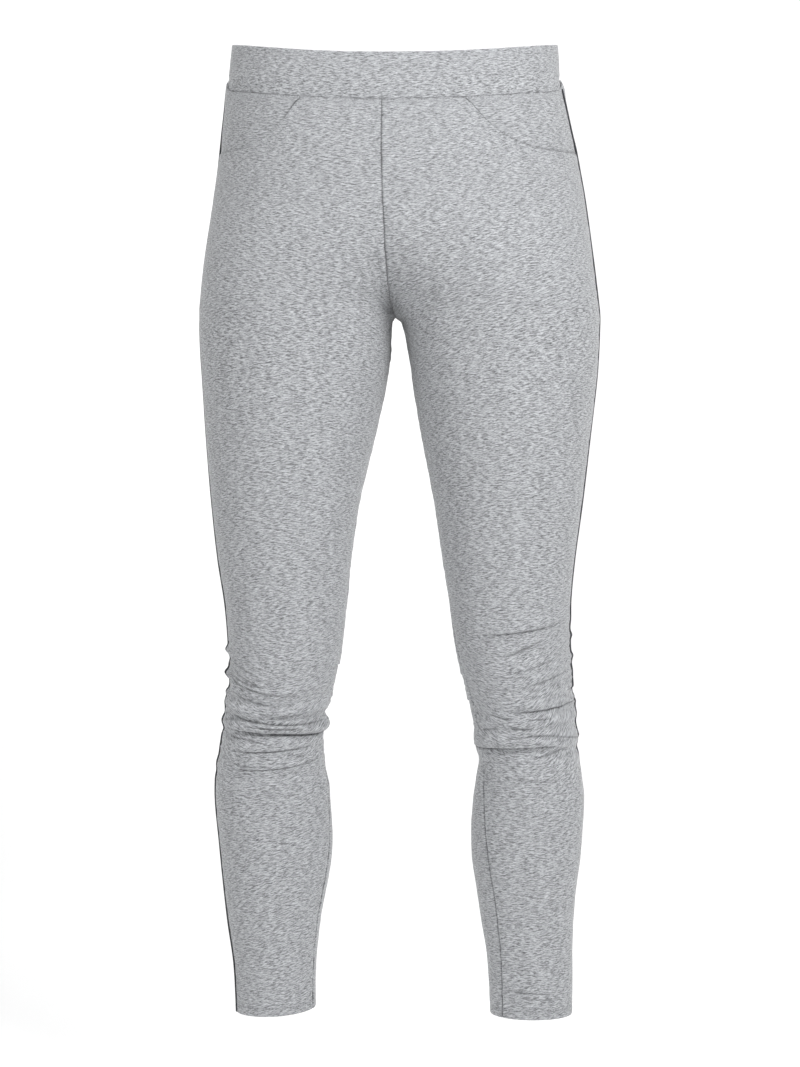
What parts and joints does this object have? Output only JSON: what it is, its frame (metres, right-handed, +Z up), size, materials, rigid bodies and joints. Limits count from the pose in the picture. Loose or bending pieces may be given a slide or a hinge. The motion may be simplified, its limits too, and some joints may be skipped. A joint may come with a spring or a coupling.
{
  "type": "leggings",
  "caption": "Pull-on leggings filled out as if worn: wide elastic waistband, scooped front pocket seams, centre seam, slack folds at the knees, open waist and narrow open hems.",
  "frame": {"origin": "middle of the waist, half way up the waistband at its sides", "axes": "+Z up the body, -Y to the front, +X to the wearer's left"},
  "size_m": [0.39, 0.2399, 0.949],
  "materials": {
    "waistband_jersey": "matte light grey melange jersey folded over elastic",
    "leg_jersey": "matte light grey melange cotton and elastane jersey",
    "facing_jersey": "matte light grey melange cotton and elastane jersey"
  },
  "bodies": {
    "root": {"waistband": "waistband_jersey", "front_leg_left": "leg_jersey", "front_leg_right": "leg_jersey", "back_leg_left": "leg_jersey", "back_leg_right": "leg_jersey", "pocket_facing_left": "facing_jersey", "pocket_facing_right": "facing_jersey"}
  },
  "joints": []
}
